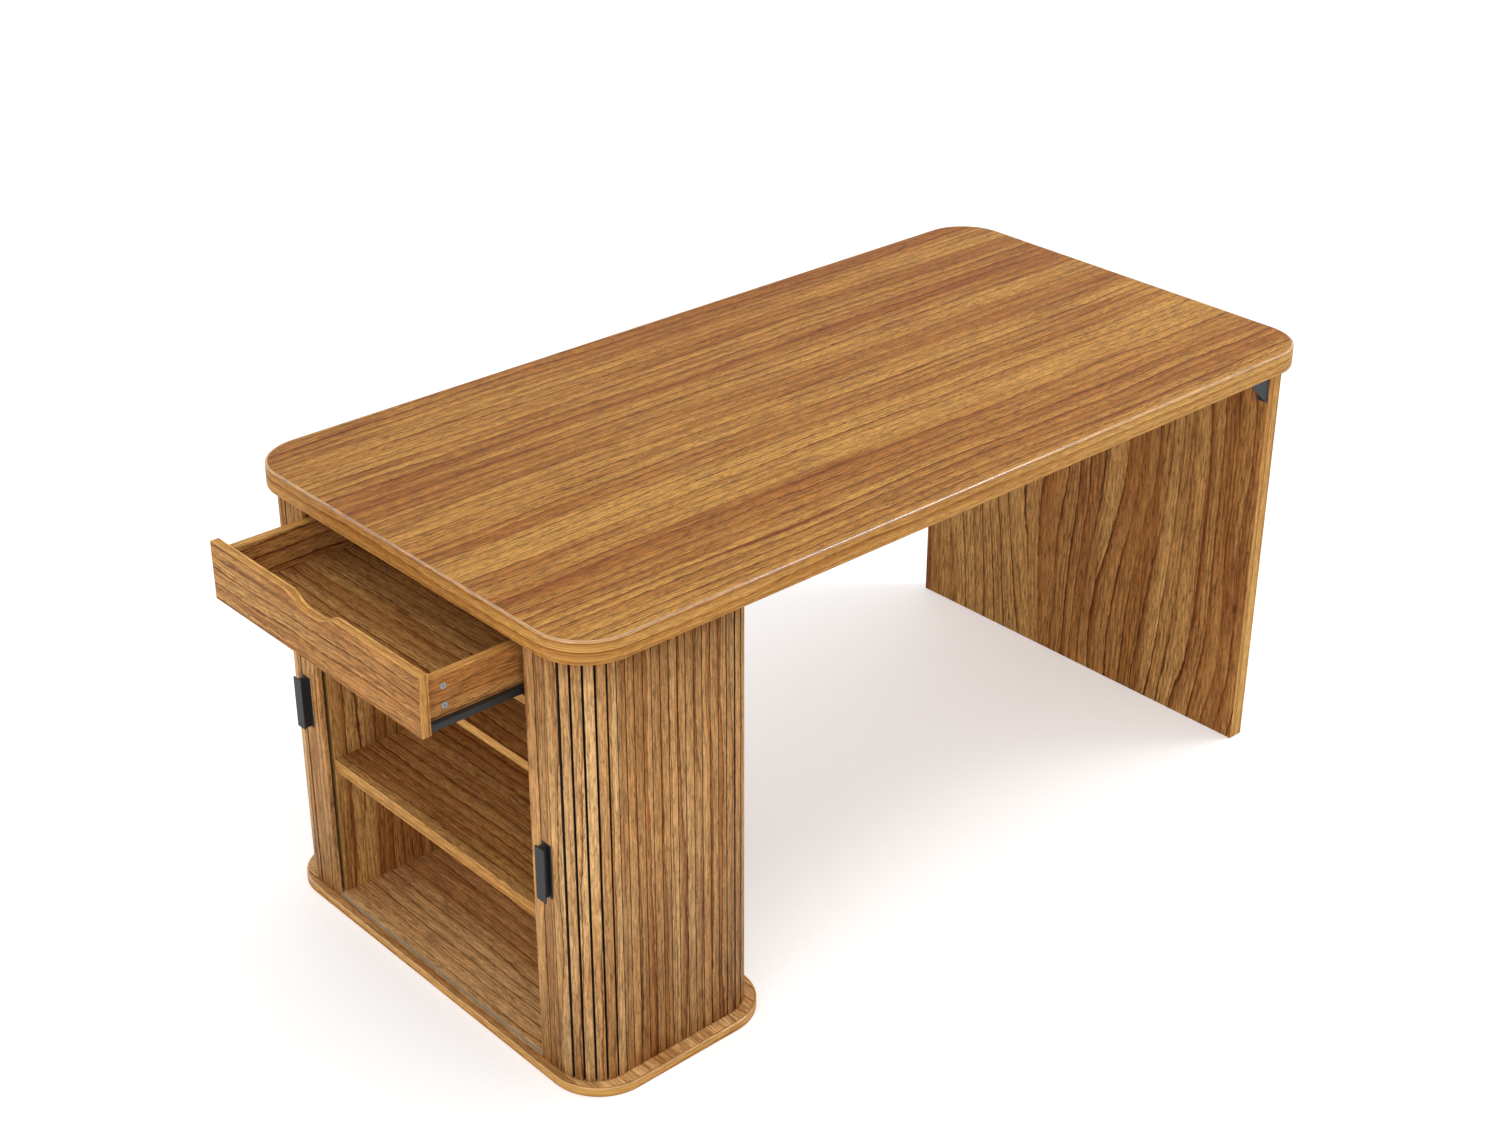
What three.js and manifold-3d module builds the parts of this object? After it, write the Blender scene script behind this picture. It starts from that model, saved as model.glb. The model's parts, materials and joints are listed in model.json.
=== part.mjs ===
// Kitchen island unit: a long tabletop that stands on a cabinet at one end and on a leg panel at
// the other. The cabinet has a drawer, shelves, stemware rails and two slatted curtain doors that
// run in grooves round its rounded corners.
//
// Millimetres, +Z up. The origin is on the floor under the centre of the cabinet's base plate.
// +X runs along the table to the leg panel, and +Y is the cabinet's left, seen from its front.
import * as THREE from "three";
import { mergeVertices } from "three/addons/utils/BufferGeometryUtils.js";
import Module from "manifold-3d";

const wasm = await Module();
wasm.setup();

// ---------------------------------------------------------------- driving dimensions
// Tabletop and base plate
const HEIGHT = 750;
const TOP_LENGTH = 1560;
const TOP_THICKNESS = 36;
const PLATE_WIDTH = 800;
const PLATE_CORNER = 85;
const BASE_LENGTH = 360;
const BASE_THICKNESS = 15;
const PLATE_EASE = 1.5;

// Leg panel and its brackets
const LEG_THICKNESS = 30;
const LEG_INSET_END = 55; // from the tabletop's end to the leg panel's outer face
const LEG_INSET_SIDE = 20; // from the tabletop's long edge to the leg panel's edge
const BRACKET_WIDTH = 19;
const BRACKET_DROP = 57; // down the leg panel
const BRACKET_REACH = 63; // along the tabletop
const BRACKET_METAL = 2;
const BRACKET_INSET = 2; // from the leg panel's edge
const BRACKET_SCREW = 0.6; // a screw's place, as a share of the arm it holds

// Cabinet boards
const BOARD = 15;
const BOARD_EASE = 0.5;
const FRONT_SETBACK = 14; // from the curtains' outer face to the boards' front edges
const BACK_SETBACK = 20; // from the curtains' rear face to the back panel
const POCKET = 97; // from a curtain's outer face at the side to the side panel
const MID_SHELF_THICKNESS = 22;
const LOWER_BAY = 229; // clear height under the middle shelf
const BOTTLE_BAY = 91; // clear height over the bottle shelf
const DRAWER_BAY = 103; // from the drawer's deck to the tabletop

// Stemware rails, inverted T sections
const RAIL_COUNT = 4;
const RAIL_PITCH = 80;
const RAIL_FLANGE = 50;
const RAIL_FLANGE_THICKNESS = 5;
const RAIL_WEB = 12;
const RAIL_HEIGHT = 19;
const RAIL_SETBACK = 26; // behind the shelf's front edge
const RAIL_REAR_GAP = 27; // from a rail's end to the back panel

// Slatted curtains
const CURTAIN_INSET_FRONT = 14; // from the base plate's edge to the slats' outer faces
const CURTAIN_INSET_REAR = 18;
const CURTAIN_INSET_SIDE = 23;
const CURTAIN_BEND = 54; // radius of the backing cloth in the corners
const SLAT_THICKNESS = 7.5;
const SLAT_PITCH = 14.8;
const WIDE_PITCH = 22.8; // of the lead, handle and corner slats
const SLAT_GAP = 0.6;
const SLAT_EASE = 0.8;
const CLOTH = 0.8; // thickness of the backing cloth
const END_CLEARANCE = 1; // between a slat's end and the plate it faces
const CLOSED_GAP = 0.4; // between the two closed curtains' cells

// Guide tracks and the tongues that run in them
const TRACK_WIDTH = 4;
const TRACK_SLOT = 2.2;
const TRACK_DEPTH = 5.5;
const TRACK_FLOOR = 1;
const TRACK_GAP = 6; // between the left and right strips at the centre
const SEAT = 0.3; // running and assembly clearance
const TONGUE_WIDTH = 6;
const TONGUE_THICKNESS = 1.2;
const TONGUE_LENGTH = 4;

// Handles, I sections standing on the handle slats
const HANDLE_LENGTH = 88;
const HANDLE_BOTTOM = 318;
const HANDLE_BASE = 20;
const HANDLE_GRIP = 20;
const HANDLE_GRIP_SHIFT = 3; // the grip lies this much further out than the base
const HANDLE_WEB = 6;
const HANDLE_METAL = 2.5;
const HANDLE_PROUD = 16;
const HANDLE_SCREW_INSET = 18; // from the handle's ends

// Drawer
const DRAWER_OPEN = 171; // how far it stands out as drawn
const FRONT_SIDE_GAP = 8; // from a side panel to the drawer's front
const FRONT_TOP_GAP = 3;
const FRONT_BOTTOM_GAP = 7;
const FRONT_PROUD = 2; // of the boards' front edges, when shut
const DRAWER_REAR_GAP = 11;
const SLIDE_SPACE = 13; // from a side panel to the drawer's side
const DRAWER_SIDE_DROP = 13; // from the front's upper edge to the sides'
const DRAWER_SIDE_RISE = 10; // from the deck to the sides' lower edges
const DRAWER_BOTTOM_THICKNESS = 5;
const DRAWER_BOTTOM_RISE = 10; // above the sides' lower edges
const SCOOP_DEPTH = 15;
const SCOOP_HALF = 65;
const SCOOP_FLAT_HALF = 12;

// Drawer slides
const SLIDE_METAL = 1.2;
const SLIDE_WEB_HEIGHT = 15;
const SLIDE_FLANGE = 9; // of the drawer member's outer flange
const SLIDE_SETBACK = 2; // from the shut drawer's front to the cabinet member
const SLIDE_OVERRUN = 4; // of the cabinet member behind the shut drawer
const CHANNEL_RISE = 4; // from the drawer deck to the channel
const CHANNEL_TOP_CLEAR = 0.6; // under the drawer member's outer flange
const ROLLER_WIDTH = 7;
const CHANNEL_MOUTH = 5; // height of the opening over the front roller
const ROLLER_INSET = 12; // from a member's end to its roller's axle
const AXLE_RADIUS = 2;

// Fasteners
const SCREW_HEAD = 8;
const SCREW_HEAD_HEIGHT = 2.2;
const SCREW_SHANK = 3.5;
const SCREW_LENGTH = 12;
const CAM_DIAMETER = 9.8;
const CAM_DEPTH = 9;
const CAM_SETBACK = 26; // behind the drawer front
const CAM_RISES = [31, 60]; // above the sides' lower edges
const CAM_RECESS = 6;
const RECESS_WIDTH = 1.4;
const RECESS_DEPTH = 1.2;

const CORNER_STEPS = 9; // each step of a plate's corner is divided in two
const BEND_STEPS = 10;
const ROUND_STEPS = 14;
const WELD = 1e-3; // vertices closer than this are one

// ---------------------------------------------------------------- sizes that follow
const TOP_UNDER = HEIGHT - TOP_THICKNESS;
const TOP_START = -BASE_LENGTH / 2;
const TOP_END = TOP_START + TOP_LENGTH;
const LEG_OUTER = TOP_END - LEG_INSET_END;
const LEG_INNER = LEG_OUTER - LEG_THICKNESS;
const LEG_EDGE = PLATE_WIDTH / 2 - LEG_INSET_SIDE;
const CURTAIN_FRONT = BASE_LENGTH / 2 - CURTAIN_INSET_FRONT;
const CURTAIN_REAR = BASE_LENGTH / 2 - CURTAIN_INSET_REAR;
const CURTAIN_SIDE = PLATE_WIDTH / 2 - CURTAIN_INSET_SIDE;
const CABINET_FRONT = CURTAIN_FRONT - FRONT_SETBACK;
const BACK_INNER = CURTAIN_REAR - BACK_SETBACK - BOARD;
const INSIDE = CURTAIN_SIDE - POCKET - BOARD; // half the width between the side panels
const MID_SHELF_TOP = BASE_THICKNESS + LOWER_BAY + MID_SHELF_THICKNESS;
const DRAWER_DECK_TOP = TOP_UNDER - DRAWER_BAY;
const BOTTLE_SHELF_TOP = DRAWER_DECK_TOP - BOARD - BOTTLE_BAY;
const FRONT_FACE = CABINET_FRONT + FRONT_PROUD;
const FRONT_INNER = BOARD - FRONT_FACE;
const FRONT_TOP = TOP_UNDER - FRONT_TOP_GAP;
const DRAWER_SIDE_TOP = FRONT_TOP - DRAWER_SIDE_DROP;
const DRAWER_SIDE_BOTTOM = DRAWER_DECK_TOP + DRAWER_SIDE_RISE;
const DRAWER_BACK = BACK_INNER - DRAWER_REAR_GAP;
const DRAWER_HALF = INSIDE - SLIDE_SPACE;

// The curtains' line, on the front face of the backing cloth, from the centre of the front
const CLOTH_FRONT = SLAT_THICKNESS - CURTAIN_FRONT;
const CLOTH_REAR = CURTAIN_REAR - SLAT_THICKNESS;
const CLOTH_SIDE = CURTAIN_SIDE - SLAT_THICKNESS;
const QUARTER = Math.PI / 2;
const BEND_RUN = QUARTER * CURTAIN_BEND;
const FIRST_BEND = CLOTH_SIDE - CURTAIN_BEND;
const FLANK = FIRST_BEND + BEND_RUN;
const SECOND_BEND = FLANK + CLOTH_REAR - CLOTH_FRONT - 2 * CURTAIN_BEND;
const REAR_RUN = SECOND_BEND + BEND_RUN;
const CURTAIN_HALF = REAR_RUN + FIRST_BEND;

// Slats that come round the corner as a curtain closes, and slats between front and rear run
const TRAVEL_SLATS = Math.ceil((INSIDE - CLOSED_GAP / 2) / SLAT_PITCH);
const LEAD_START = TRAVEL_SLATS * SLAT_PITCH + CLOSED_GAP / 2;
const SIDE_START = LEAD_START + 2 * WIDE_PITCH;
const SIDE_SLATS = Math.ceil((REAR_RUN - SIDE_START - WIDE_PITCH) / SLAT_PITCH);
const BACK_START = SIDE_START + WIDE_PITCH + SIDE_SLATS * SLAT_PITCH;

// ---------------------------------------------------------------- materials
const finish = (color, roughness, metalness = 0) => ({ color, roughness, metalness });
const WOOD = finish(0xa9703a, 0.45);
const SLAT_WOOD = finish(0xb27a45, 0.5);
const BLACK_METAL = finish(0x2b2c2e, 0.45, 0.7);
const STEEL = finish(0xb9bcc0, 0.3, 1);
const TRACK_PLASTIC = finish(0xcdbfa6, 0.5);
const ROLLER_PLASTIC = finish(0xe6e6e2, 0.4);

// ---------------------------------------------------------------- shape helpers
const outline = (points) => new THREE.Shape(points.map(([u, v]) => new THREE.Vector2(u, v)));
const rectangle = (u0, u1, v0, v1) => outline([[u0, v0], [u1, v0], [u1, v1], [u0, v1]]);

function roundedRectangle(u0, u1, v0, v1, radius) {
  const shape = new THREE.Shape();
  shape.absarc(u1 - radius, v1 - radius, radius, 0, QUARTER);
  shape.absarc(u0 + radius, v1 - radius, radius, QUARTER, 2 * QUARTER);
  shape.absarc(u0 + radius, v0 + radius, radius, 2 * QUARTER, 3 * QUARTER);
  shape.absarc(u1 - radius, v0 + radius, radius, 3 * QUARTER, 4 * QUARTER);
  shape.closePath();
  return shape;
}

function extruded(shape, length, ease) {
  const geometry = new THREE.ExtrudeGeometry(shape, {
    depth: length - 2 * ease,
    bevelEnabled: ease > 0,
    bevelThickness: ease,
    bevelSize: ease,
    bevelOffset: -ease,
    bevelSegments: 1,
    curveSegments: CORNER_STEPS,
  });
  return geometry.translate(0, 0, ease);
}

// Outlines are drawn as [y, z] along X, as [z, x] along Y and as [x, y] along Z.
const axisX = new THREE.Vector3(1, 0, 0);
const axisY = new THREE.Vector3(0, 1, 0);
const axisZ = new THREE.Vector3(0, 0, 1);
const TURN_TO_X = new THREE.Matrix4().makeBasis(axisY, axisZ, axisX);
const TURN_TO_Y = new THREE.Matrix4().makeBasis(axisZ, axisX, axisY);

function alongX(shape, x0, x1, ease = 0) {
  return extruded(shape, x1 - x0, ease).applyMatrix4(TURN_TO_X).translate(x0, 0, 0);
}

function alongY(shape, y0, y1, ease = 0) {
  const low = Math.min(y0, y1);
  return extruded(shape, Math.abs(y1 - y0), ease).applyMatrix4(TURN_TO_Y).translate(0, low, 0);
}

function alongZ(shape, z0, z1, ease = 0) {
  return extruded(shape, z1 - z0, ease).translate(0, 0, z0);
}

// A solid of revolution about Z from [radius, height] points that start and end on the axis.
function turned(points) {
  const profile = points.map(([radius, height]) => new THREE.Vector2(radius, height));
  return new THREE.LatheGeometry(profile, ROUND_STEPS).rotateX(QUARTER);
}

const rod = (radius, z0, z1) => turned([[0, z0], [radius, z0], [radius, z1], [0, z1]]);

function solidOf(geometry) {
  const bare = geometry.clone();
  bare.deleteAttribute("normal");
  bare.deleteAttribute("uv");
  const merged = mergeVertices(bare, WELD);
  return new wasm.Manifold(
    new wasm.Mesh({
      numProp: 3,
      vertProperties: merged.attributes.position.array,
      triVerts: new Uint32Array(merged.index.array),
    }),
  );
}

function geometryOf(solid) {
  const { vertProperties, triVerts } = solid.getMesh();
  const geometry = new THREE.BufferGeometry();
  geometry.setAttribute("position", new THREE.BufferAttribute(vertProperties, 3));
  geometry.setIndex(new THREE.BufferAttribute(triVerts, 1));
  const faceted = geometry.toNonIndexed();
  faceted.computeVertexNormals();
  return faceted;
}

function cut(body, ...tools) {
  return geometryOf(tools.reduce((left, tool) => left.subtract(solidOf(tool)), solidOf(body)));
}

function join(...pieces) {
  const [first, ...rest] = pieces.map(solidOf);
  return geometryOf(rest.reduce((whole, piece) => whole.add(piece), first));
}

const unit = new THREE.Group();

function add(name, geometry, look, parent = unit) {
  const mesh = new THREE.Mesh(geometry, new THREE.MeshStandardMaterial(look));
  mesh.name = name;
  parent.add(mesh);
  return mesh;
}

const SIDES = [
  { word: "left", sign: 1 },
  { word: "right", sign: -1 },
];

// ---------------------------------------------------------------- the curtains' line
// A point on the curtains' line, s along it, with its tangent and its outward normal, moved
// outward by offset. Drawn for the left side.
function curtainPoint(s, offset = 0) {
  let turn = 0;
  let x = CLOTH_FRONT;
  let y = s;
  if (s > REAR_RUN) {
    turn = 2 * QUARTER;
    x = CLOTH_REAR;
    y = CURTAIN_HALF - s;
  } else if (s > SECOND_BEND) {
    turn = QUARTER + (s - SECOND_BEND) / CURTAIN_BEND;
    x = CLOTH_REAR - CURTAIN_BEND * (1 + Math.cos(turn));
    y = FIRST_BEND + CURTAIN_BEND * Math.sin(turn);
  } else if (s > FLANK) {
    turn = QUARTER;
    x = CLOTH_FRONT + CURTAIN_BEND + s - FLANK;
    y = CLOTH_SIDE;
  } else if (s > FIRST_BEND) {
    turn = (s - FIRST_BEND) / CURTAIN_BEND;
    x = CLOTH_FRONT + CURTAIN_BEND * (1 - Math.cos(turn));
    y = FIRST_BEND + CURTAIN_BEND * Math.sin(turn);
  }
  const tangent = [Math.sin(turn), Math.cos(turn)];
  const normal = [-Math.cos(turn), Math.sin(turn)];
  return { at: [x + normal[0] * offset, y + normal[1] * offset], tangent, normal };
}

// The outline of a band that follows the curtains' line between two offsets from it.
function band(start, end, inner, outer, sign) {
  const stops = [start, end];
  for (const corner of [FIRST_BEND, SECOND_BEND]) {
    for (let step = 0; step <= BEND_STEPS; step += 1) {
      stops.push(corner + (BEND_RUN * step) / BEND_STEPS);
    }
  }
  const inside = stops.filter((s) => s >= start && s <= end).sort((a, b) => a - b);
  const outerSide = inside.map((s) => curtainPoint(s, outer).at);
  const innerSide = inside.map((s) => curtainPoint(s, inner).at).reverse();
  return outline([...outerSide, ...innerSide].map(([x, y]) => [x, sign * y]));
}

const TRACK_LINE = SLAT_THICKNESS / 2; // the tracks lie under the middle of the slats
const TRACK_START = TRACK_GAP / 2;
const TRACK_END = CURTAIN_HALF - TRACK_GAP / 2;

function trackBand(width, sign, reach = 0) {
  const start = TRACK_START - reach;
  const end = TRACK_END + reach;
  return band(start, end, TRACK_LINE - width / 2, TRACK_LINE + width / 2, sign);
}

// The groove that holds one track, sunk in a plate from its face to its floor.
const groove = (sign, z0, z1) => alongZ(trackBand(TRACK_WIDTH + 2 * SEAT, sign, SEAT), z0, z1);

function curtainCells(start, widths) {
  let edge = start;
  return widths.map((width) => {
    const centre = edge + width / 2;
    edge += width;
    return { centre, half: (width - SLAT_GAP) / 2 };
  });
}

// One run of slats on its cloth, with tongues on every other slat.
function curtain(cells, sign) {
  const outerSide = [];
  const innerSide = [];
  for (const { centre, half } of cells) {
    const { at, tangent, normal } = curtainPoint(centre);
    const place = (along, out) => [
      at[0] + tangent[0] * along + normal[0] * out,
      sign * (at[1] + tangent[1] * along + normal[1] * out),
    ];
    outerSide.push(place(-half, 0));
    outerSide.push(place(-half, SLAT_THICKNESS - SLAT_EASE));
    outerSide.push(place(SLAT_EASE - half, SLAT_THICKNESS));
    outerSide.push(place(half - SLAT_EASE, SLAT_THICKNESS));
    outerSide.push(place(half, SLAT_THICKNESS - SLAT_EASE));
    outerSide.push(place(half, 0));
    innerSide.push(place(-half, -CLOTH), place(half, -CLOTH));
  }
  const low = BASE_THICKNESS + END_CLEARANCE;
  const high = TOP_UNDER - END_CLEARANCE;
  const slats = alongZ(outline([...outerSide, ...innerSide.reverse()]), low, high);
  const tongues = [];
  cells.forEach(({ centre }, index) => {
    if (index % 2) {
      return;
    }
    const { at, tangent } = curtainPoint(centre, TRACK_LINE);
    for (const [z0, z1] of [
      [BASE_THICKNESS - TONGUE_LENGTH, low + TONGUE_LENGTH],
      [high - TONGUE_LENGTH, TOP_UNDER + TONGUE_LENGTH],
    ]) {
      const tongue = new THREE.BoxGeometry(TONGUE_THICKNESS, TONGUE_WIDTH, z1 - z0);
      tongue.rotateZ(-sign * Math.atan2(tangent[0], tangent[1]));
      tongues.push(tongue.translate(at[0], sign * at[1], (z0 + z1) / 2));
    }
  });
  return join(slats, ...tongues);
}

// ---------------------------------------------------------------- fasteners
// A pan-head screw about Z: the head's seat is at 0, its head above it and its shank below.
function screw(length = SCREW_LENGTH) {
  const dome = SCREW_HEAD_HEIGHT / 2;
  const head = turned([
    [0, -length],
    [SCREW_SHANK / 2, -length],
    [SCREW_SHANK / 2, 0],
    [SCREW_HEAD / 2, 0],
    [SCREW_HEAD / 2, dome],
    [SCREW_HEAD / 4, SCREW_HEAD_HEIGHT],
    [0, SCREW_HEAD_HEIGHT],
  ]);
  return cut(head, ...crossRecess(SCREW_HEAD / 2, SCREW_HEAD_HEIGHT));
}

// Two bars that sink a cross of the given width into a face at the given height.
function crossRecess(width, height) {
  const bars = [
    [width, RECESS_WIDTH],
    [RECESS_WIDTH, width],
  ];
  return bars.map(([x, y]) => new THREE.BoxGeometry(x, y, 2 * RECESS_DEPTH).translate(0, 0, height));
}

const screwHole = (length = SCREW_LENGTH) => rod(SCREW_SHANK / 2 + SEAT, -length - SEAT, SEAT);

// Turns a piece drawn about Z so that its +Z points along the given direction.
function aimed(geometry, direction, place) {
  const turn = new THREE.Quaternion().setFromUnitVectors(axisZ, direction);
  return geometry.applyQuaternion(turn).translate(...place);
}

// ---------------------------------------------------------------- tabletop, base plate, leg panel
const bracketMiddles = [
  { word: "left", y: LEG_EDGE - BRACKET_INSET - BRACKET_WIDTH / 2, gusset: 1 },
  { word: "middle", y: 0, gusset: -1 },
  { word: "right", y: BRACKET_INSET + BRACKET_WIDTH / 2 - LEG_EDGE, gusset: -1 },
];
const down = axisZ.clone().negate();
const inward = axisX.clone().negate();
const topScrewPlace = (y) => [LEG_INNER - BRACKET_REACH * BRACKET_SCREW, y, TOP_UNDER - BRACKET_METAL];
const legScrewPlace = (y) => [LEG_INNER - BRACKET_METAL, y, TOP_UNDER - BRACKET_DROP * BRACKET_SCREW];

function makeTabletop() {
  const half = PLATE_WIDTH / 2;
  const shape = roundedRectangle(TOP_START, TOP_END, -half, half, PLATE_CORNER);
  const grooves = SIDES.map(({ sign }) => groove(sign, TOP_UNDER - SEAT, TOP_UNDER + TRACK_DEPTH));
  const holes = bracketMiddles.map(({ y }) => aimed(screwHole(), down, topScrewPlace(y)));
  const board = alongZ(shape, TOP_UNDER, HEIGHT, PLATE_EASE);
  add("tabletop", cut(board, ...grooves, ...holes), WOOD);
}

function makeBasePlate() {
  const half = PLATE_WIDTH / 2;
  const shape = roundedRectangle(-BASE_LENGTH / 2, BASE_LENGTH / 2, -half, half, PLATE_CORNER);
  const floor = BASE_THICKNESS - TRACK_DEPTH;
  const grooves = SIDES.map(({ sign }) => groove(sign, floor, BASE_THICKNESS + SEAT));
  add("base_plate", cut(alongZ(shape, 0, BASE_THICKNESS, PLATE_EASE), ...grooves), WOOD);
}

function makeLegPanel() {
  const shape = rectangle(-LEG_EDGE, LEG_EDGE, 0, TOP_UNDER);
  const holes = bracketMiddles.map(({ y }) => aimed(screwHole(), inward, legScrewPlace(y)));
  add("leg_panel", cut(alongX(shape, LEG_INNER, LEG_OUTER, BOARD_EASE), ...holes), WOOD);
}

function makeLegBrackets() {
  for (const { word, y, gusset } of bracketMiddles) {
    const edge = BRACKET_WIDTH / 2;
    const flange = alongX(
      rectangle(y - edge, y + edge, TOP_UNDER - BRACKET_DROP, TOP_UNDER),
      LEG_INNER - BRACKET_METAL,
      LEG_INNER,
    );
    const arm = alongZ(
      rectangle(LEG_INNER - BRACKET_REACH, LEG_INNER, y - edge, y + edge),
      TOP_UNDER - BRACKET_METAL,
      TOP_UNDER,
    );
    const side = y + gusset * edge;
    const plate = alongY(
      outline([
        [TOP_UNDER, LEG_INNER],
        [TOP_UNDER - BRACKET_DROP, LEG_INNER],
        [TOP_UNDER - BRACKET_DROP, LEG_INNER - BRACKET_METAL],
        [TOP_UNDER - BRACKET_METAL, LEG_INNER - BRACKET_REACH],
        [TOP_UNDER, LEG_INNER - BRACKET_REACH],
      ]),
      side,
      side - gusset * BRACKET_METAL,
    );
    const holes = [
      aimed(screwHole(), down, topScrewPlace(y)),
      aimed(screwHole(), inward, legScrewPlace(y)),
    ];
    add(`leg_bracket_${word}`, cut(join(flange, arm, plate), ...holes), BLACK_METAL);
    add(`bracket_screw_top_${word}`, aimed(screw(), down, topScrewPlace(y)), BLACK_METAL);
    add(`bracket_screw_leg_${word}`, aimed(screw(), inward, legScrewPlace(y)), BLACK_METAL);
  }
}

// ---------------------------------------------------------------- cabinet
function makeCarcass() {
  for (const { word, sign } of SIDES) {
    const panel = rectangle(BASE_THICKNESS, TOP_UNDER, -CABINET_FRONT, BACK_INNER + BOARD);
    const geometry = alongY(panel, sign * INSIDE, sign * (INSIDE + BOARD), BOARD_EASE);
    add(`side_panel_${word}`, geometry, WOOD);
  }
  const back = rectangle(-INSIDE, INSIDE, BASE_THICKNESS, TOP_UNDER);
  add("back_panel", alongX(back, BACK_INNER, BACK_INNER + BOARD, BOARD_EASE), WOOD);

  const shelf = rectangle(-CABINET_FRONT, BACK_INNER, -INSIDE, INSIDE);
  for (const [name, top, thickness] of [
    ["mid_shelf", MID_SHELF_TOP, MID_SHELF_THICKNESS],
    ["bottle_shelf", BOTTLE_SHELF_TOP, BOARD],
    ["drawer_deck", DRAWER_DECK_TOP, BOARD],
  ]) {
    add(name, alongZ(shelf, top - thickness, top, BOARD_EASE), WOOD);
  }
}

function makeStemRails() {
  const under = BOTTLE_SHELF_TOP - BOARD;
  const low = under - RAIL_HEIGHT;
  const start = RAIL_SETBACK - CABINET_FRONT;
  for (let index = 0; index < RAIL_COUNT; index += 1) {
    const y = index * RAIL_PITCH + RAIL_FLANGE / 2 - INSIDE;
    const section = outline([
      [y - RAIL_FLANGE / 2, low],
      [y + RAIL_FLANGE / 2, low],
      [y + RAIL_FLANGE / 2, low + RAIL_FLANGE_THICKNESS],
      [y + RAIL_WEB / 2, low + RAIL_FLANGE_THICKNESS],
      [y + RAIL_WEB / 2, under],
      [y - RAIL_WEB / 2, under],
      [y - RAIL_WEB / 2, low + RAIL_FLANGE_THICKNESS],
      [y - RAIL_FLANGE / 2, low + RAIL_FLANGE_THICKNESS],
    ]);
    add(`stem_rail_${index + 1}`, alongX(section, start, BACK_INNER - RAIL_REAR_GAP), WOOD);
  }
}

// ---------------------------------------------------------------- curtains, tracks, handles
function makeTracks() {
  for (const { word, sign } of SIDES) {
    const strip = trackBand(TRACK_WIDTH, sign);
    const slot = trackBand(TRACK_SLOT, sign, SEAT);
    const low = BASE_THICKNESS - TRACK_DEPTH;
    const bottom = cut(
      alongZ(strip, low, BASE_THICKNESS),
      alongZ(slot, low + TRACK_FLOOR, BASE_THICKNESS + SEAT),
    );
    const high = TOP_UNDER + TRACK_DEPTH;
    const top = cut(
      alongZ(strip, TOP_UNDER, high),
      alongZ(slot, TOP_UNDER - SEAT, high - TRACK_FLOOR),
    );
    add(`track_bottom_${word}`, bottom, TRACK_PLASTIC);
    add(`track_top_${word}`, top, TRACK_PLASTIC);
  }
}

const slatRow = (count, width = SLAT_PITCH) => Array.from({ length: count }, () => width);
const handleY = curtainPoint(LEAD_START + 1.5 * WIDE_PITCH).at[1];
const handleScrewHeights = [HANDLE_SCREW_INSET, HANDLE_LENGTH - HANDLE_SCREW_INSET].map(
  (rise) => HANDLE_BOTTOM + rise,
);

function handleScrewPlace(sign, z) {
  const cloth = SLAT_THICKNESS + CLOTH - CURTAIN_FRONT;
  return [cloth, sign * handleY, z];
}

function makeCurtains() {
  const sideWidths = [WIDE_PITCH, ...slatRow(SIDE_SLATS)];
  for (const { word, sign } of SIDES) {
    const front = curtain(curtainCells(LEAD_START, slatRow(2, WIDE_PITCH)), sign);
    const holes = handleScrewHeights.map((z) =>
      aimed(screwHole(), axisX.clone(), handleScrewPlace(sign, z)),
    );
    add(`tambour_front_${word}`, cut(front, ...holes), SLAT_WOOD);
    add(`tambour_side_${word}`, curtain(curtainCells(SIDE_START, sideWidths), sign), SLAT_WOOD);
    const back = curtainCells(BACK_START, slatRow(TRAVEL_SLATS));
    add(`tambour_back_${word}`, curtain(back, sign), SLAT_WOOD);
  }
}

function makeHandles() {
  for (const { word, sign } of SIDES) {
    const seat = -CURTAIN_FRONT;
    const face = seat - HANDLE_PROUD;
    const gripY = handleY + HANDLE_GRIP_SHIFT;
    const section = outline(
      [
        [seat, handleY - HANDLE_BASE / 2],
        [seat, handleY + HANDLE_BASE / 2],
        [seat - HANDLE_METAL, handleY + HANDLE_BASE / 2],
        [seat - HANDLE_METAL, handleY + HANDLE_WEB / 2],
        [face + HANDLE_METAL, handleY + HANDLE_WEB / 2],
        [face + HANDLE_METAL, gripY + HANDLE_GRIP / 2],
        [face, gripY + HANDLE_GRIP / 2],
        [face, gripY - HANDLE_GRIP / 2],
        [face + HANDLE_METAL, gripY - HANDLE_GRIP / 2],
        [face + HANDLE_METAL, handleY - HANDLE_WEB / 2],
        [seat - HANDLE_METAL, handleY - HANDLE_WEB / 2],
        [seat - HANDLE_METAL, handleY - HANDLE_BASE / 2],
      ].map(([x, y]) => [x, sign * y]),
    );
    const bar = alongZ(section, HANDLE_BOTTOM, HANDLE_BOTTOM + HANDLE_LENGTH);
    const holes = handleScrewHeights.map((z) =>
      aimed(screwHole(), axisX.clone(), handleScrewPlace(sign, z)),
    );
    add(`handle_${word}`, cut(bar, ...holes), BLACK_METAL);
    handleScrewHeights.forEach((z, index) => {
      const body = aimed(screw(), axisX.clone(), handleScrewPlace(sign, z));
      add(`handle_screw_${word}_${index + 1}`, body, STEEL);
    });
  }
}

// ---------------------------------------------------------------- drawer, drawn shut
const drawer = new THREE.Group();
drawer.position.x = -DRAWER_OPEN;
unit.add(drawer);

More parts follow.
